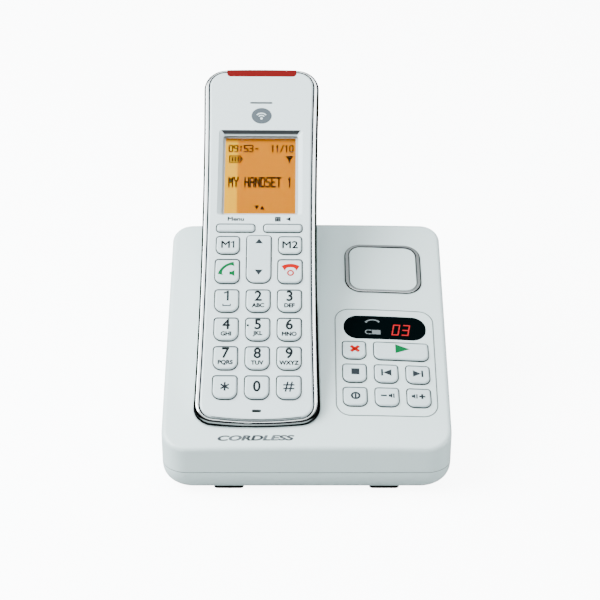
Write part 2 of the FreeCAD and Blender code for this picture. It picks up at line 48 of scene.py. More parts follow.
# The handset leans back and sits slightly turned; the deck slopes. Angles in degrees.
HANDSET_LEAN, HANDSET_SPIN, DECK_SLOPE = 36.0, -0.3, 19.5
HANDSET_TURN = (Matrix.Rotation(math.radians(HANDSET_LEAN), 4, "X")
                @ Matrix.Rotation(math.radians(HANDSET_SPIN), 4, "Z"))
DECK_TURN = Matrix.Rotation(math.radians(DECK_SLOPE), 4, "X")
UP, DOWN_SLOPE = Vector((0, 0, 1)), Vector((0, -1, 0))


# ---------------------------------------------------------------- shader node helpers
def add_node(tree, kind, **settings):
    """Adds a shader node and sets its own properties."""
    made = tree.nodes.new("ShaderNode" + kind)
    for setting, value in settings.items():
        setattr(made, setting, value)
    return made


def along(tree, source, direction):
    """How far a vector points along a fixed direction."""
    product = add_node(tree, "VectorMath", operation="DOT_PRODUCT")
    product.inputs[1].default_value = direction
    tree.links.new(source, product.inputs[0])
    return product.outputs["Value"]


def between(tree, source, start, stop, low=0.0, high=1.0, smooth=True):
    """Goes from low to high while the source goes from start to stop."""
    ramp = add_node(tree, "MapRange", interpolation_type="SMOOTHSTEP" if smooth else "LINEAR")
    for name, value in (("From Min", start), ("From Max", stop), ("To Min", low), ("To Max", high)):
        ramp.inputs[name].default_value = value
    tree.links.new(source, ramp.inputs["Value"])
    return ramp.outputs["Result"]


def combine(tree, operation, a, b):
    """One number from two."""
    result = add_node(tree, "Math", operation=operation)
    tree.links.new(a, result.inputs[0])
    tree.links.new(b, result.inputs[1])
    return result.outputs["Value"]


def blend(tree, mask, under, over):
    """Colour that is under where the mask is 0 and over where it is 1."""
    mix = add_node(tree, "Mix", data_type="RGBA")
    tree.links.new(mask, mix.inputs["Factor"])
    for socket, value in ((mix.inputs["A"], under), (mix.inputs["B"], over)):
        if isinstance(value, tuple):
            socket.default_value = (*value, 1.0)
        else:
            tree.links.new(value, socket)
    return mix.outputs["Result"]


def noise(tree, scale):
    """Procedural noise fixed to the object."""
    where = add_node(tree, "TexCoord")
    cloud = add_node(tree, "TexNoise")
    cloud.inputs["Scale"].default_value = scale
    tree.links.new(where.outputs["Object"], cloud.inputs["Vector"])
    return cloud


def base_color(mat):
    return mat.node_tree.nodes["Principled BSDF"].inputs["Base Color"]


def srgb(r, g, b):
    """Linear colour from 0-255 display values."""
    def linear(v):
        v /= 255.0
        return v / 12.92 if v <= 0.04045 else ((v + 0.055) / 1.055) ** 2.4
    return linear(r), linear(g), linear(b)


# ---------------------------------------------------------------- materials
GRAIN_SCALE, GRAIN_DEPTH, MOTTLE_SCALE = 4000.0, 0.04 * MM, 60.0


def shader(name, color, roughness, metallic=0.0, coat=0.0, specular=0.5, grain=0.0, mottle=0.0,
           emission=None, glow=0.0, gap_shade_reach=0.0, down=-UP, gap_shade_level=0.03):
    """Principled material with a fine procedural grain and a faint large-scale variation.

    Gaps narrower than about the given reach in millimetres get painted shade and go dark, except on the
    walls that face down the slope, which are left without it."""
    mat = bpy.data.materials.new(name)
    mat.use_nodes = True
    tree = mat.node_tree
    sockets = tree.nodes["Principled BSDF"].inputs
    sockets["Base Color"].default_value = (*color, 1.0)
    sockets["Roughness"].default_value = roughness
    sockets["Metallic"].default_value = metallic
    sockets["Coat Weight"].default_value = coat
    sockets["Coat Roughness"].default_value = 0.08
    sockets["Specular IOR Level"].default_value = specular
    if emission:
        sockets["Emission Color"].default_value = (*emission, 1.0)
        sockets["Emission Strength"].default_value = glow
    if grain:
        speckle = noise(tree, GRAIN_SCALE)
        speckle.inputs["Detail"].default_value = 2.0
        bump = add_node(tree, "Bump")
        bump.inputs["Strength"].default_value = grain
        bump.inputs["Distance"].default_value = GRAIN_DEPTH
        tree.links.new(speckle.outputs["Fac"], bump.inputs["Height"])
        tree.links.new(bump.outputs["Normal"], sockets["Normal"])
    if mottle:
        cloud = noise(tree, MOTTLE_SCALE).outputs["Fac"]
        uneven = between(tree, cloud, 0.0, 1.0, roughness - mottle, roughness + mottle, smooth=False)
        tree.links.new(uneven, sockets["Roughness"])
    if gap_shade_reach:
        paint_gap_shade(mat, gap_shade_reach, color, down, gap_shade_level)
    return mat


def paint_gap_shade(mat, reach, color, down, gap_shade_level):
    """Paints shade inside narrow gaps: takes the base colour down to the given fraction of itself there.
    """
    tree = mat.node_tree
    shade = add_node(tree, "AmbientOcclusion", samples=12)
    shade.inputs["Distance"].default_value = reach * MM
    surface = add_node(tree, "NewGeometry")
    in_the_open = between(tree, shade.outputs["AO"], 0.50, 0.95)
    # Walls that face down the slope are left lighter, without the painted shade.
    downslope_unshaded = between(tree, along(tree, surface.outputs["Normal"], down), 0.6, 0.95, high=0.9, smooth=False)
    shade_free = combine(tree, "MAXIMUM", in_the_open, downslope_unshaded)
    tree.links.new(blend(tree, shade_free, tuple(gap_shade_level * c for c in color), color), base_color(mat))


def paint_upper_edge_shade(mat, turn, top, depth):
    """Paints shade on the sloping upper wall of the display opening, from its rim down to depth
    millimetres.
    """
    tree = mat.node_tree
    plain = base_color(mat).links[0].from_socket
    surface, where = add_node(tree, "NewGeometry"), add_node(tree, "TexCoord")
    facing = along(tree, surface.outputs["Normal"], turn @ Vector((0, -0.717, 0.697)))
    height = along(tree, where.outputs["Object"], turn @ UP)
    near_rim = between(tree, height, top - depth * MM, top - 0.6 * depth * MM)
    rim_shade = combine(tree, "MULTIPLY", between(tree, facing, 0.97, 0.99), near_rim)
    tree.links.new(blend(tree, rim_shade, plain, (0.02, 0.022, 0.024)), base_color(mat))


# Painted reflection of the plating, set in its colour by how squarely it faces outwards: bright on its
# side wall, nearly black on its rounded shoulder and white on its top.
PLATING_PAINTED_REFLECTION = [(0.0, 0.75), (0.07, 0.70), (0.22, 0.003), (0.90, 0.003), (0.94, 0.30), (0.96, 0.9), (1.0, 1.0)]


def plated_with_painted_reflection(name, turn, brightest):
    """Bright plating on a band that faces out of a turned frame; its colour is a painted reflection, with
    a painted grey reflection of the deck at the frame's lower end.
    """
    mat = shader(name, srgb(222, 228, 230), 0.12, metallic=1.0, mottle=0.02)
    tree = mat.node_tree
    tree.nodes["Principled BSDF"].inputs["Specular Tint"].default_value = (0.02, 0.02, 0.02, 1.0)
    surface = add_node(tree, "NewGeometry")
    ramp = add_node(tree, "ValToRGB")
    stops = ramp.color_ramp.elements
    while len(stops) < len(PLATING_PAINTED_REFLECTION):
        stops.new(0.5)
    for element, (position, level) in zip(stops, PLATING_PAINTED_REFLECTION):
        element.position = position
        element.color = (0.97 * brightest * level, brightest * level, brightest * level, 1.0)
    tree.links.new(along(tree, surface.outputs["Normal"], turn @ UP), ramp.inputs["Fac"])
    foot = along(tree, surface.outputs["Normal"], turn @ DOWN_SLOPE)
    # Painted grey reflection of the deck on the band's lower end.
    lower_end_painted_reflection = between(tree, foot, 0.66, 0.80, smooth=False)
    tree.links.new(blend(tree, lower_end_painted_reflection, ramp.outputs["Color"], (0.30, 0.31, 0.31)), base_color(mat))
    return mat


# The casing, the handset's face and the keys get painted shade in their narrow gaps.
CASING = shader("casing_white", srgb(216, 230, 230), 0.34, coat=0.1, grain=0.1, mottle=0.04, gap_shade_reach=1.5,
                down=DECK_TURN @ DOWN_SLOPE, gap_shade_level=0.2)
FACE = shader("handset_white", srgb(219, 231, 234), 0.24, coat=0.3, grain=0.04, mottle=0.03, gap_shade_reach=1.5,
              down=HANDSET_TURN @ DOWN_SLOPE)
KEYS = shader("key_white", srgb(206, 219, 222), 0.36, coat=0.1, grain=0.05, mottle=0.03, gap_shade_reach=1.5)
# The trim and the ring carry a painted reflection in their colour.
TRIM = plated_with_painted_reflection("bright_trim", HANDSET_TURN, 1.0)
RING = plated_with_painted_reflection("bright_ring", DECK_TURN, 0.5)
# The red lens carries a faint painted glow.
RED_LENS = shader("red_lens", srgb(98, 12, 12), 0.3, specular=0.05, emission=(0.05, 0.002, 0.002),
                  glow=1.0, mottle=0.02)
SMOKED = shader("smoked_window", srgb(2, 7, 8), 0.15, specular=0.0, mottle=0.02)
BADGE = shader("badge_grey", srgb(78, 86, 92), 0.35, specular=0.2, mottle=0.03)
RUBBER = shader("rubber_black", srgb(12, 14, 14), 0.8, specular=0.1, grain=0.5, mottle=0.05)
SILICONE = shader("silicone_mat", srgb(190, 192, 186), 0.6, grain=0.3, mottle=0.05)
BLACK = shader("black_plastic", srgb(18, 19, 21), 0.5, specular=0.3, grain=0.3, mottle=0.05)
STEEL = shader("zinc_steel", srgb(176, 178, 182), 0.35, metallic=1.0, mottle=0.08)
GOLD = shader("contact_gold", srgb(214, 178, 104), 0.28, metallic=1.0, mottle=0.06)
CELL = shader("cell_wrap", srgb(44, 120, 70), 0.3, coat=0.4, mottle=0.04)
LEGEND = shader("legend_grey", srgb(40, 46, 50), 0.6, specular=0.05, mottle=0.05)
SOFT_LEGEND = shader("legend_soft_grey", srgb(34, 40, 44), 0.6, specular=0.05, mottle=0.05)
WORD_INK = shader("legend_pale_grey", srgb(96, 102, 105), 0.6, specular=0.05, mottle=0.05)
GREEN_INK = shader("legend_green", srgb(2, 96, 52), 0.6, specular=0.03, mottle=0.05)
RED_INK = shader("legend_red", srgb(176, 14, 10), 0.6, specular=0.03, mottle=0.05)
LCD_INK = shader("lcd_ink", srgb(24, 6, 0), 0.7, specular=0.0, mottle=0.05)
WINDOW_INK = shader("window_ink", srgb(112, 120, 122), 0.6, specular=0.05, mottle=0.05)
LED = shader("led_red", srgb(120, 10, 10), 0.6, specular=0.0, emission=(1.0, 0.05, 0.07), glow=0.7,
             mottle=0.02)


def board_material():
    """Green solder mask with copper-coloured tracks."""
    mat = shader("board_green", srgb(24, 92, 52), 0.35, coat=0.3)
    tree = mat.node_tree
    where = add_node(tree, "TexCoord")
    brick = add_node(tree, "TexBrick")
    brick.inputs["Scale"].default_value = 220.0
    brick.inputs["Mortar Size"].default_value = 0.03
    brick.inputs["Color1"].default_value = (*srgb(24, 92, 52), 1)
    brick.inputs["Color2"].default_value = (*srgb(30, 104, 60), 1)
    brick.inputs["Mortar"].default_value = (*srgb(120, 150, 80), 1)
    tree.links.new(where.outputs["Object"], brick.inputs["Vector"])
    tree.links.new(brick.outputs["Color"], base_color(mat))
    return mat


BOARD = board_material()

finish_of = {
    "base_upper_casing": CASING, "base_lower_casing": CASING, "locator_button": CASING,
    "rubber_feet": RUBBER, "base_screws": STEEL, "page_ring": RING, "base_display_window": SMOKED,
    "base_key_mat": SILICONE, "base_circuit_board": BOARD, "message_digit_module": BLACK,
    "loudspeaker": BLACK, "line_socket": BLACK, "power_inlet": BLACK, "contact_holder": BLACK,
    "charge_contact_left": GOLD, "charge_contact_right": GOLD, "charge_pads": GOLD,
    "handset_rear_shell": FACE, "handset_front_shell": FACE, "battery_cover": FACE,
    "handset_trim_band": TRIM, "ring_indicator_lens": RED_LENS,
    "face_badge": BADGE, "handset_key_mat": SILICONE, "handset_circuit_board": BOARD,
    "earpiece_capsule": BLACK, "microphone_capsule": BLACK, "ringer_sounder": BLACK,
    "battery_cells": CELL, "battery_contacts": STEEL, "handset_screws": STEEL,
}


# ---------------------------------------------------------------- local frames
def limits(points, turn):
    """Lowest and highest corners of some points in a turned frame."""
    back = turn.inverted()
    points = [back @ point for point in points]
    return (Vector(min(p[i] for p in points) for i in range(3)),
            Vector(max(p[i] for p in points) for i in range(3)))


def local_box(node, turn):
    """Limits of a CAD node in a turned frame."""
    return limits((v.co for v in nodes[node].data.vertices), turn)


def top_of(node, slope):
    """Frame whose origin is the middle of a node's top face, z along the face's normal."""
    guess = slope @ UP
    mesh = nodes[node].data
    flats = {}
    for face in mesh.polygons:
        if face.normal.dot(guess) > 0.95:
            key = tuple(round(c, 3) for c in face.normal)
            height = round(face.center.dot(face.normal), 4)
            flats.setdefault((key, height), []).append(face)
    top = max(flats.values(), key=lambda faces: sum(face.area for face in faces))
    normal = top[0].normal.normalized()
    upward = normal.cross(slope @ Vector((1, 0, 0))).normalized()
    across = upward.cross(normal)
    turn = Matrix((across, upward, normal)).transposed().to_4x4()
    low, high = limits((mesh.vertices[i].co for face in top for i in face.vertices), turn)
    middle = (low + high) / 2
    return turn @ Matrix.Translation((middle.x, middle.y, high.z))


# ---------------------------------------------------------------- printed and lit marks
def mesh_piece(name, vertices, faces, place, material, body, thick=0.03):
    """Thin printed shape: flat polygons in millimetres on a frame, given a little thickness."""
    points = [(x * MM, y * MM, 0.0) for x, y in vertices]
    count = len(points)
    points += [(x, y, thick * MM) for x, y, z in points]
    solid = []
    edges = {}
    for face in faces:
        solid.append([i + count for i in face])
        solid.append(list(reversed(face)))
        for a, b in zip(face, face[1:] + face[:1]):
            edges[(a, b)] = True
    for a, b in edges:
        if (b, a) not in edges:
            solid.append([a, b, b + count, a + count])
    mesh = bpy.data.meshes.new(name)
    mesh.from_pydata(points, [], solid)
    mesh.transform(place)
    mesh.materials.append(material)
    obj = bpy.data.objects.new(name, mesh)
    bpy.context.scene.collection.objects.link(obj)
    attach(obj, body)
    return obj


class Sheet:
    """Collects flat polygons for one printed piece."""

    def __init__(self):
        self.vertices, self.faces = [], []

    def polygon(self, points):
        start = len(self.vertices)
        self.vertices += points
        self.faces.append(list(range(start, start + len(points))))

    def rect(self, x0, y0, x1, y1):
        self.polygon([(x0, y0), (x1, y0), (x1, y1), (x0, y1)])

    def disc(self, x, y, rx, ry=None, steps=24):
        ry = rx if ry is None else ry
        self.polygon([(x + rx * math.cos(2 * math.pi * k / steps),
                       y + ry * math.sin(2 * math.pi * k / steps)) for k in range(steps)])

    def arc(self, x, y, radius, width, a0, a1, steps=24):
        """Band along an arc, in degrees, as one strip of quads."""
        start = len(self.vertices)
        for k in range(steps + 1):
            a = math.radians(a0 + (a1 - a0) * k / steps)
            for r in (radius - width / 2, radius + width / 2):
                self.vertices.append((x + r * math.cos(a), y + r * math.sin(a)))
        for k in range(steps):
            i = start + 2 * k
            self.faces.append([i, i + 1, i + 3, i + 2])

    def stroke(self, x0, y0, x1, y1, width):
        """Straight bar from one point to another."""
        dx, dy = x1 - x0, y1 - y0
        length = math.hypot(dx, dy)
        nx, ny = -dy / length * width / 2, dx / length * width / 2
        self.polygon([(x0 - nx, y0 - ny), (x1 - nx, y1 - ny), (x1 + nx, y1 + ny), (x0 + nx, y0 + ny)])

    def piece(self, name, place, material, body, thick=0.03):
        return mesh_piece(name, self.vertices, self.faces, place, material, body, thick)


def figure_one(sheet, x, y, height, width):
    """A figure 1 with a short flag, centred at (x, y)."""
    top = y + height / 2
    sheet.rect(x, y - height / 2, x + width, top)
    sheet.stroke(x + width * 0.7, top - width * 0.45, x - width * 1.5, top - height * 0.24, width * 0.85)


def receiver(sheet, x, y, reach, bulge, width, end, tilt):
    """Telephone receiver: a bowed grip with two thick ends, turned by tilt degrees."""
    turn = math.radians(tilt)
    centre, radius = -bulge, math.hypot(reach, bulge)
    outer, inner = [], []
    half = math.degrees(math.atan2(reach, bulge))
    steps = 24
    for k in range(steps + 1):
        t = k / steps
        angle = math.radians(90 + half - 2 * half * t)
        thick = width + (end - width) * abs(2 * t - 1) ** 4
        for rows, r in ((outer, radius + width / 2), (inner, radius + width / 2 - thick)):
            rows.append((r * math.cos(angle), centre + r * math.sin(angle)))
    spots = []
    for px, py in outer + inner[::-1]:
        spots.append((x + px * math.cos(turn) - py * math.sin(turn),
                      y + px * math.sin(turn) + py * math.cos(turn)))
    start = len(sheet.vertices)
    sheet.vertices += spots
    last = len(spots) - 1
    for k in range(steps):
        sheet.faces.append([start + k + 1, start + k, start + last - k, start + last - k - 1])


def small_speaker(sheet, x, y):
    """Small loudspeaker sign: a box, its cone and one sound bar."""
    sheet.rect(x - 1.1, y - 0.6, x - 0.45, y + 0.6)
    sheet.polygon([(x - 0.45, y - 0.6), (x + 0.3, y - 1.3), (x + 0.3, y + 1.3), (x - 0.45, y + 0.6)])
    sheet.rect(x + 0.65, y - 1.1, x + 1.2, y + 1.1)


SEGMENTS = {"0": "abcdef", "3": "abcdg"}


def seven_segment(sheet, digit, x, y, width, height, thick, slant):
    """Lit bars of a seven-segment figure centred at (x, y)."""
    w, h, t, g = width / 2, height / 2, thick, 0.12
    bars = {"a": (-w + g, h - t, w - g, h), "d": (-w + g, -h, w - g, -h + t),
            "g": (-w + g, -t / 2, w - g, t / 2), "f": (-w, g, -w + t, h - g),
            "b": (w - t, g, w, h - g), "e": (-w, -h + g, -w + t, -g), "c": (w - t, -h + g, w, -g)}
    for name in SEGMENTS[digit]:
        x0, y0, x1, y1 = bars[name]
        sheet.polygon([(x + x0 + slant * y0, y + y0), (x + x1 + slant * y0, y + y0),
                       (x + x1 + slant * y1, y + y1), (x + x0 + slant * y1, y + y1)])


# Dot patterns of the lit display, five dots wide and seven high, as rows of 0/1.
DOTS = {
    "0": "01110 10001 10001 10001 10001 10001 01110", "1": "00100 01100 00100 00100 00100 00100 00100",
    "3": "11110 00001 00001 01110 00001 00001 11110", "5": "11111 10000 10000 11110 00001 00001 11110",
    "9": "01110 10001 10001 01111 00001 00001 01110", ":": "00000 00100 00100 00000 00100 00100 00000",
    "/": "00001 00010 00010 00100 01000 01000 10000", "-": "00000 00000 00000 01110 00000 00000 00000",
    "A": "01110 10001 10001 11111 10001 10001 10001", "D": "11110 10001 10001 10001 10001 10001 11110",
    "E": "11111 10000 10000 11110 10000 10000 11111", "H": "10001 10001 10001 11111 10001 10001 10001",
    "M": "10001 11011 10101 10101 10001 10001 10001", "N": "10001 11001 10101 10101 10011 10001 10001",
    "S": "01111 10000 10000 01110 00001 00001 11110", "T": "11111 00100 00100 00100 00100 00100 00100",
    "Y": "10001 10001 01010 00100 00100 00100 00100", " ": "00000 00000 00000 00000 00000 00000 00000",
}
DOT_OVERLAP_X, DOT_OVERLAP_Y = 0.42, 0.18


def dotted(sheet, text, left, low, right, high):
    """Dot-matrix text filling a rectangle of the display, its dots run together."""
    columns = 6 * len(text) - 1
    step_x, step_y = (right - left) / columns, (high - low) / 7
    for index, letter in enumerate(text):
        for row, line in enumerate(DOTS[letter].split()):
            for column, dot in enumerate(line):
                if dot == "1":
                    x = left + (6 * index + column) * step_x
                    y = high - (row + 1) * step_y
                    sheet.rect(x - DOT_OVERLAP_X * step_x, y - DOT_OVERLAP_Y * step_y,
                               x + (1 + DOT_OVERLAP_X) * step_x, y + (1 + DOT_OVERLAP_Y) * step_y)


def thickened(mesh, weight):
    """Heavier lettering: the same flat mesh repeated a little to each side."""
    vertices = [v.co.copy() for v in mesh.vertices]
    faces = [list(face.vertices) for face in mesh.polygons]
    all_vertices, all_faces = [], []
    for k in range(8):
        angle = math.pi * k / 4
        shift = Vector((math.cos(angle), math.sin(angle), 0)) * weight
        start = len(all_vertices)
        all_vertices += [v + shift for v in vertices]
        all_faces += [[i + start for i in face] for face in faces]
    heavier = bpy.data.meshes.new(mesh.name)
    heavier.from_pydata(all_vertices, [], all_faces)
    return heavier


CAPITAL_SHARE = 0.70  # height of a capital over the size of its font
INK_HALF_THICKNESS = 0.015 * MM


def text_piece(name, text, place, x, y, height, material, body, stretch=1.0, weight=0.0, slant=0.0):
    """Printed text, centred at (x, y) millimetres on a frame, with capitals of the given height."""
    curve = bpy.data.curves.new(name + "_curve", "FONT")
    curve.body = text
    curve.align_x, curve.align_y = "CENTER", "CENTER"
    curve.size = height * MM / CAPITAL_SHARE
    curve.shear = slant
    curve.extrude = INK_HALF_THICKNESS
    curve.resolution_u = 6
    holder = bpy.data.objects.new(name + "_holder", curve)
    bpy.context.scene.collection.objects.link(holder)
    bpy.context.view_layer.update()
    mesh = bpy.data.meshes.new_from_object(holder.evaluated_get(bpy.context.evaluated_depsgraph_get()))
    bpy.data.objects.remove(holder)
    if weight:
        mesh = thickened(mesh, weight * MM)
    xs = [v.co.x for v in mesh.vertices]
    ys = [v.co.y for v in mesh.vertices]
    shift = Matrix.Translation((-(min(xs) + max(xs)) / 2, -(min(ys) + max(ys)) / 2, INK_HALF_THICKNESS))
    spread = Matrix.Diagonal((stretch, 1, 1, 1))
    mesh.transform(place @ Matrix.Translation((x * MM, y * MM, 0)) @ spread @ shift)
    mesh.materials.clear()
    mesh.materials.append(material)
    mesh.name = name
    obj = bpy.data.objects.new(name, mesh)
    bpy.context.scene.collection.objects.link(obj)
    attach(obj, body)
    return obj


WELL_ABOVE = 0.2  # metres, higher than any surface that a mark lies on


def lie_on(obj, node, turn, lift=0.02):
    """Drops a thin flat piece on a curved CAD surface, keeping its thickness."""
    back = turn.inverted()
    cad = nodes[node]
    down = (turn @ -UP).normalized()
    base = min((back @ v.co).z for v in obj.data.vertices)
    for vertex in obj.data.vertices:
        local = back @ vertex.co
        start = turn @ Vector((local.x, local.y, WELL_ABOVE))
        hit, spot = cad.ray_cast(start, down)[:2]
        if hit:
            surface = (back @ spot).z
            vertex.co = turn @ Vector((local.x, local.y, surface + lift * MM + local.z - base))


# ---------------------------------------------------------------- display materials
def lit_display_material():
    """Amber backlit display area inside a silvery frame, in the handset's own directions, with a painted
    glare on its left strip and a painted shadow along its top.
    """
    low, high = local_box("lcd_module", HANDSET_TURN)
    mat = shader("lit_display", srgb(205, 208, 198), 0.35)
    tree = mat.node_tree
    bsdf = tree.nodes["Principled BSDF"]
    where = add_node(tree, "TexCoord")
    place = add_node(tree, "Mapping", vector_type="TEXTURE")
    place.inputs["Rotation"].default_value = HANDSET_TURN.to_euler()
    place.inputs["Location"].default_value = HANDSET_TURN @ Vector(((low.x + high.x) / 2, low.y, high.z))
    split = add_node(tree, "SeparateXYZ")
    tree.links.new(where.outputs["Object"], place.inputs["Vector"])
    tree.links.new(place.outputs["Vector"], split.inputs["Vector"])

    def step(axis, start, stop):
        """0 before start and 1 after stop, in millimetres along one axis."""
        return between(tree, split.outputs[axis], start * MM, stop * MM)

    across = combine(tree, "MULTIPLY", step("X", -14.7, -14.6), step("X", 14.6, 14.5))
    up = combine(tree, "MULTIPLY", step("Y", 1.75, 1.85), step("Y", 36.95, 36.85))
    inside = combine(tree, "MULTIPLY", across, up)
    # Painted glare: the left strip of the display is brighter.
    amber_glare_and_shadow = blend(tree, step("X", -9.8, -9.2), (1.9, 0.90, 0.0), (1.25, 0.39, 0.0))
    # Painted shadow of the opening's rim along the top of the display.
    amber_glare_and_shadow = blend(tree, step("Y", 34.4, 36.4), amber_glare_and_shadow, (0.32, 0.09, 0.0))
    black = (0.0, 0.0, 0.0)
    tree.links.new(blend(tree, inside, srgb(214, 218, 214), black), bsdf.inputs["Base Color"])
    tree.links.new(blend(tree, inside, black, amber_glare_and_shadow), bsdf.inputs["Emission Color"])
    bsdf.inputs["Emission Strength"].default_value = 1.0
    bsdf.inputs["Specular IOR Level"].default_value = 0.0
    return mat


def window_material():
    """Clear cover: mostly transparent with a mirror-like sheen that grows at grazing angles."""
    mat = bpy.data.materials.new("clear_cover")
    mat.use_nodes = True
    tree = mat.node_tree
    tree.nodes.remove(tree.nodes["Principled BSDF"])
    clear, sheen = add_node(tree, "BsdfTransparent"), add_node(tree, "BsdfGlossy")
    sheen.inputs["Roughness"].default_value = 0.04
    fresnel, mix = add_node(tree, "Fresnel"), add_node(tree, "MixShader")
    fresnel.inputs["IOR"].default_value = 1.12
    tree.links.new(fresnel.outputs["Fac"], mix.inputs["Fac"])
    tree.links.new(clear.outputs["BSDF"], mix.inputs[1])
    tree.links.new(sheen.outputs["BSDF"], mix.inputs[2])
    tree.links.new(mix.outputs["Shader"], tree.nodes["Material Output"].inputs["Surface"])
    return mat


finish_of["lcd_module"] = lit_display_material()
finish_of["handset_window"] = window_material()
for name, obj in nodes.items():
    obj.data.materials.clear()
    obj.data.materials.append(finish_of.get(name, KEYS))

# ---------------------------------------------------------------- frames for the marks
# On the handset x runs across and y up from its lower end; on the deck likewise, from the base's
# front. On a key both start at the middle of its top. All marks are in millimetres.
band_low, band_high = local_box("handset_trim_band", HANDSET_TURN)
face_high = local_box("handset_front_shell", HANDSET_TURN)[1].z
lcd_high = local_box("lcd_module", HANDSET_TURN)[1].z
handset_middle, handset_start = (band_low.x + band_high.x) / 2, band_low.y - 0.45 * MM
HAND = HANDSET_TURN @ Matrix.Translation((handset_middle, handset_start, face_high))
LCD = HANDSET_TURN @ Matrix.Translation((handset_middle - 0.2 * MM, handset_start + 1.15 * MM,
                                         lcd_high + 0.03 * MM))
window_low, window_high = local_box("base_display_window", DECK_TURN)
window_x, window_y = (window_low.x + window_high.x) / 2, (window_low.y + window_high.y) / 2
WINDOW = DECK_TURN @ Matrix.Translation((window_x, window_y, 0))
DECK = DECK_TURN @ Matrix.Translation((window_x - 31.75 * MM, window_y - 59.1 * MM, 0))
# Painted shade line on the display opening's upper wall.
SHADED_RIM = 1.7  # millimetres of the display opening's upper wall that look dark
paint_upper_edge_shade(FACE, HANDSET_TURN, face_high, SHADED_RIM)

# ---------------------------------------------------------------- handset legends
letters = {"two": "ABC", "three": "DEF", "four": "GHI", "five": "JKL", "six": "MNO",
           "seven": "PQRS", "eight": "TUV", "nine": "WXYZ"}
figures = {"two": "2", "three": "3", "four": "4", "five": "5", "six": "6",
           "seven": "7", "eight": "8", "nine": "9", "zero": "0"}
for word, figure in figures.items():
    place = top_of("key_" + word, HANDSET_TURN)
    rise = 0.4 if word == "zero" else 2.15
    text_piece("legend_" + word, figure, place, 0.0, rise, 4.5, LEGEND, "key_" + word, 0.95, 0.15)
for word, group in letters.items():
    place = top_of("key_" + word, HANDSET_TURN)
    text_piece("letters_" + word, group, place, 0.0, -2.15, 1.75, LEGEND, "key_" + word, 1.0, 0.12)

mark = Sheet()
figure_one(mark, 0.0, 2.15, 4.5, 0.8)
mark.piece("legend_one", top_of("key_one", HANDSET_TURN), LEGEND, "key_one")
mark = Sheet()
mark.rect(-1.7, -2.6, 1.7, -2.15)
mark.rect(-1.7, -2.6, -1.25, -1.6)
mark.rect(1.25, -2.6, 1.7, -1.6)
mark.piece("voicemail_mark", top_of("key_one", HANDSET_TURN), LEGEND, "key_one")

mark = Sheet()
for angle in (90, 210, 330):
    c, s = math.cos(math.radians(angle)) * 1.9, math.sin(math.radians(angle)) * 1.9
    mark.stroke(-c, 0.2 - s, c, 0.2 + s, 0.72)
mark.piece("legend_star", top_of("key_star", HANDSET_TURN), LEGEND, "key_star")

mark = Sheet()
for offset in (-0.85, 0.85):
    mark.stroke(offset - 0.45, -2.0, offset + 0.45, 2.4, 0.62)
    mark.rect(-2.2, offset * 0.95 - 0.1, 2.2, offset * 0.95 + 0.5)
mark.piece("legend_hash", top_of("key_hash", HANDSET_TURN), LEGEND, "key_hash")

mark = Sheet()
mark.disc(-4.0, 1.6, 0.42)
mark.piece("tactile_dot", top_of("key_five", HANDSET_TURN), LEGEND, "key_five", 0.25)

for node, text, middle in (("memory_one_key", "M", -0.95), ("memory_two_key", "M2", 0.0)):
    place = top_of(node, HANDSET_TURN)
    text_piece("legend_" + node, text, place, middle, 0.1, 3.3, LEGEND, node, 1.12, 0.08)
mark = Sheet()
figure_one(mark, 2.0, 0.1, 3.3, 0.6)
mark.piece("figure_memory_one", top_of("memory_one_key", HANDSET_TURN), LEGEND, "memory_one_key")
for node, shift in (("soft_left_key", -0.3), ("soft_right_key", -0.1)):
    mark = Sheet()
    mark.disc(shift, 0.25, 0.55, 0.5)
    mark.piece("dot_" + node, top_of(node, HANDSET_TURN), LEGEND, node)

mark = Sheet()
mark.polygon([(-1.6, 6.9), (1.6, 6.9), (0.0, 9.0)])
mark.polygon([(-1.6, -4.8), (0.0, -7.1), (1.6, -4.8)])
mark.piece("rocker_arrows", top_of("navigation_rocker", HANDSET_TURN), LEGEND, "navigation_rocker")

mark = Sheet()
receiver(mark, -0.3, 1.0, 3.9, 6.0, 1.1, 2.2, 42)
mark.rect(0.9, -1.8, 1.8, -0.4)
mark.polygon([(1.8, -1.8), (2.9, -2.5), (2.9, 0.3), (1.8, -0.4)])
mark.piece("legend_talk", top_of("talk_key", HANDSET_TURN), GREEN_INK, "talk_key")

mark = Sheet()
receiver(mark, 0.2, 1.6, 3.2, 5.0, 1.6, 2.7, 0)
mark.arc(0.2, -0.9, 1.1, 0.6, 0, 360)
mark.piece("legend_end", top_of("end_key", HANDSET_TURN), RED_INK, "end_key")

text_piece("label_menu", "Menu", HAND, -9.6, 89.0, 1.7, SOFT_LEGEND, "handset", 1.25, 0.08)
mark = Sheet()
for k in range(3):
    mark.rect(6.3, 87.9 + 0.75 * k, 8.6, 88.45 + 0.75 * k)
for x in (6.3, 7.2, 8.1):
    mark.rect(x, 87.9, x + 0.5, 89.95)
mark.polygon([(12.6, 90.0), (10.7, 89.0), (12.6, 88.0)])
mark.piece("label_right_icons", HAND, SOFT_LEGEND, "handset")

mark = Sheet()
mark.disc(-0.05, -1.35, 0.55)
for radius in (1.45, 2.5):
    mark.arc(-0.05, -1.35, radius, 0.5, 40, 140)
mark.piece("badge_mark", top_of("face_badge", HANDSET_TURN), KEYS, "handset")

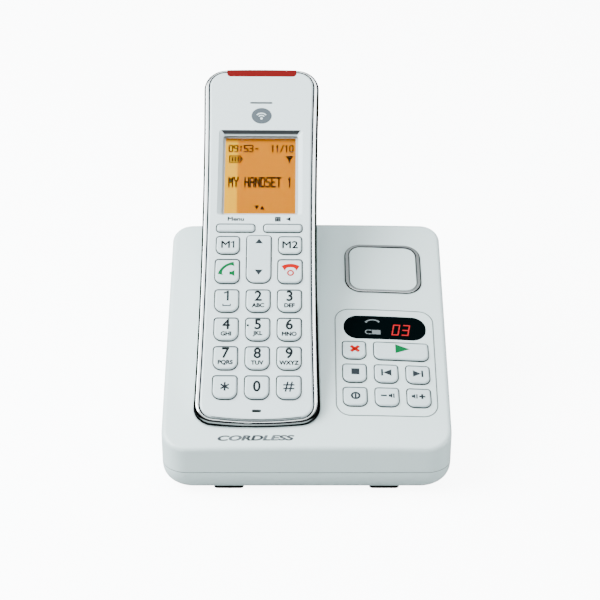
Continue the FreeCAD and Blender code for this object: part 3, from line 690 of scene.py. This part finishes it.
# ---------------------------------------------------------------- display content
ink = Sheet()
dotted(ink, "09:53", -13.1, 120.3, -2.9, 123.8)
ink.rect(-2.1, 121.5, -0.8, 122.3)
dotted(ink, "11/10", 4.4, 120.3, 13.7, 123.8)
ink.rect(-12.8, 115.3, -8.0, 115.8)
ink.rect(-12.8, 118.3, -8.0, 118.8)
ink.rect(-12.9, 115.3, -12.3, 118.8)
ink.polygon([(-8.3, 115.3), (-7.0, 117.05), (-8.3, 118.8)])
for k in range(3):
    ink.rect(-11.9 + 1.2 * k, 116.0, -11.0 + 1.2 * k, 118.1)
ink.rect(11.75, 115.2, 12.55, 118.2)
ink.stroke(12.15, 116.6, 10.9, 118.6, 0.7)
ink.stroke(12.15, 116.6, 13.4, 118.6, 0.7)
ink.rect(10.7, 118.1, 13.6, 118.7)
dotted(ink, "MY HANDSET 1", -12.9, 103.9, 13.2, 108.7)
ink.polygon([(-2.2, 95.6), (-1.1, 93.6), (-0.1, 95.6)])
ink.polygon([(0.1, 93.6), (2.2, 93.6), (1.15, 95.6)])
ink.piece("display_ink", LCD, LCD_INK, "handset", 0.012)

# ---------------------------------------------------------------- base legends
mark = Sheet()
mark.stroke(-1.35, -1.1, 1.95, 1.9, 1.35)
mark.stroke(-1.35, 1.9, 1.95, -1.1, 1.35)
mark.piece("legend_erase", top_of("erase_key", DECK_TURN), RED_INK, "erase_key")

mark = Sheet()
mark.polygon([(-2.3, -1.5), (3.5, 1.0), (-2.3, 3.5)])
mark.piece("legend_play", top_of("play_key", DECK_TURN), GREEN_INK, "play_key")

mark = Sheet()
mark.rect(-1.35, -1.1, 1.85, 2.1)
mark.piece("legend_stop", top_of("stop_key", DECK_TURN), LEGEND, "stop_key")

for node, side in (("skip_back_key", 1), ("skip_forward_key", -1)):
    mark = Sheet()
    bar = sorted((side * -2.1, side * -1.35))
    mark.rect(bar[0], -1.45, bar[1], 2.05)
    corners = [(side * -1.3, 0.3), (side * 2.0, -1.45), (side * 2.0, 2.05)]
    mark.polygon(corners if side > 0 else corners[::-1])
    mark.piece("legend_" + node, top_of(node, DECK_TURN), LEGEND, node)

mark = Sheet()
mark.arc(0.15, 0.15, 1.5, 0.85, 0, 360)
mark.rect(-0.2, -0.85, 0.5, 1.15)
mark.piece("legend_answer_on", top_of("answer_on_key", DECK_TURN), LEGEND, "answer_on_key")

mark = Sheet()
mark.rect(-2.5, 0.05, -0.1, 0.85)
small_speaker(mark, 1.7, 0.45)
mark.piece("legend_volume_down", top_of("volume_down_key", DECK_TURN), LEGEND, "volume_down_key")
mark = Sheet()
small_speaker(mark, -1.8, 0.45)
mark.rect(0.0, 0.05, 2.5, 0.85)
mark.rect(0.85, -0.85, 1.65, 1.75)
mark.piece("legend_volume_up", top_of("volume_up_key", DECK_TURN), LEGEND, "volume_up_key")

# The smoked window and the deck are crowned, so their marks are laid on them a little proud.
mark = Sheet()
seven_segment(mark, "0", 4.5, -0.9, 2.9, 5.6, 0.5, 0.17)
seven_segment(mark, "3", 8.5, -0.9, 2.9, 5.6, 0.5, 0.17)
lie_on(mark.piece("message_count", WINDOW, LED, "base"), "base_display_window", DECK_TURN)

mark = Sheet()
receiver(mark, -5.0, 2.9, 2.9, 3.2, 0.5, 0.95, 4)
mark.arc(-6.9, -2.4, 0.95, 0.4, 90, 270)
mark.rect(-6.7, -3.55, -5.4, -3.15)
mark.rect(-6.7, -1.65, -5.4, -1.25)
mark.rect(-5.2, -3.5, -1.8, -1.3)
lie_on(mark.piece("window_icons", WINDOW, WINDOW_INK, "base"), "base_display_window", DECK_TURN)

name_plate = text_piece("deck_word", "CORDLESS", DECK, -19.6, 4.9, 2.2, WORD_INK, "base", 1.95, 0.15, 0.22)
lie_on(name_plate, "base_upper_casing", DECK_TURN, 0.01)

# ---------------------------------------------------------------- softened edges
SHARP_ANGLE = 32  # degrees
for name, obj in nodes.items():
    for face in obj.data.polygons:
        face.use_smooth = True
    obj.data.set_sharp_from_angle(angle=math.radians(SHARP_ANGLE))
    flats = obj.modifiers.new("flat_faces_stay_flat", "WEIGHTED_NORMAL")
    flats.keep_sharp = True

# ---------------------------------------------------------------- floor, light, camera
FLOOR_SIZE, FLOOR_GLOW = 8.0, 8.5
LAMP_COLOR = (0.93, 0.99, 1.0)


def floor_material():
    """Pale paper that shows nearly white, and throws back less light than it shows."""
    mat = shader("pale_floor", srgb(246, 247, 248), 0.9, specular=0.0, mottle=0.02)
    tree = mat.node_tree
    sockets = tree.nodes["Principled BSDF"].inputs
    seen = add_node(tree, "LightPath").outputs["Is Camera Ray"]
    tree.links.new(blend(tree, seen, (0.36, 0.38, 0.38), (0.92, 0.94, 0.95)), sockets["Base Color"])
    sockets["Emission Color"].default_value = (1.0, 1.0, 1.0, 1.0)
    glow = between(tree, seen, 0.0, 1.0, high=FLOOR_GLOW, smooth=False)
    tree.links.new(glow, sockets["Emission Strength"])
    return mat


def area_light(name, location, target, width, height, power):
    """Soft rectangular lamp that points at the target."""
    data = bpy.data.lights.new(name, "AREA")
    data.shape = "RECTANGLE"
    data.size, data.size_y, data.energy, data.color = width, height, power, LAMP_COLOR
    lamp = bpy.data.objects.new(name, data)
    lamp.location = location
    lamp.rotation_euler = (Vector(target) - Vector(location)).to_track_quat("-Z", "Y").to_euler()
    bpy.context.scene.collection.objects.link(lamp)


low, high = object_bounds()
bpy.ops.mesh.primitive_plane_add(size=FLOOR_SIZE, location=(0, 0, low.z))
floor = bpy.context.object
floor.name = "floor"
floor.data.materials.append(floor_material())

middle = (low + high) / 2
area_light("key_light", (-0.85, -0.15, 0.80), middle, 0.9, 0.9, 48.0)
area_light("top_light", (0.05, -0.10, 1.20), middle, 1.0, 0.8, 8.0)
area_light("side_light", (0.90, -0.35, 0.12), middle, 0.5, 0.5, 8.0)

# The room is dark below the horizon and pale above it.
world = bpy.data.worlds.new("studio")
bpy.context.scene.world = world
world.use_nodes = True
sky = world.node_tree
background = sky.nodes["Background"]
where, split, ramp = [add_node(sky, kind) for kind in ("TexCoord", "SeparateXYZ", "ValToRGB")]
for element, position, color in zip(ramp.color_ramp.elements, (0.42, 0.64),
                                    ((0.09, 0.10, 0.10, 1), (0.90, 0.98, 1.0, 1))):
    element.position, element.color = position, color
sky.links.new(where.outputs["Generated"], split.inputs["Vector"])
sky.links.new(split.outputs["Z"], ramp.inputs["Fac"])
sky.links.new(ramp.outputs["Color"], background.inputs["Color"])
background.inputs["Strength"].default_value = 0.85

camera_data = bpy.data.cameras.new("photo_camera")
camera_data.lens, camera_data.sensor_width, camera_data.clip_start = 108.0, 36.0, 0.05
camera = bpy.data.objects.new("photo_camera", camera_data)
camera.location = (-0.002578, -0.64457, 0.41759)
camera.rotation_euler = (math.radians(60.0), 0, 0)
bpy.context.scene.collection.objects.link(camera)
bpy.context.scene.camera = camera
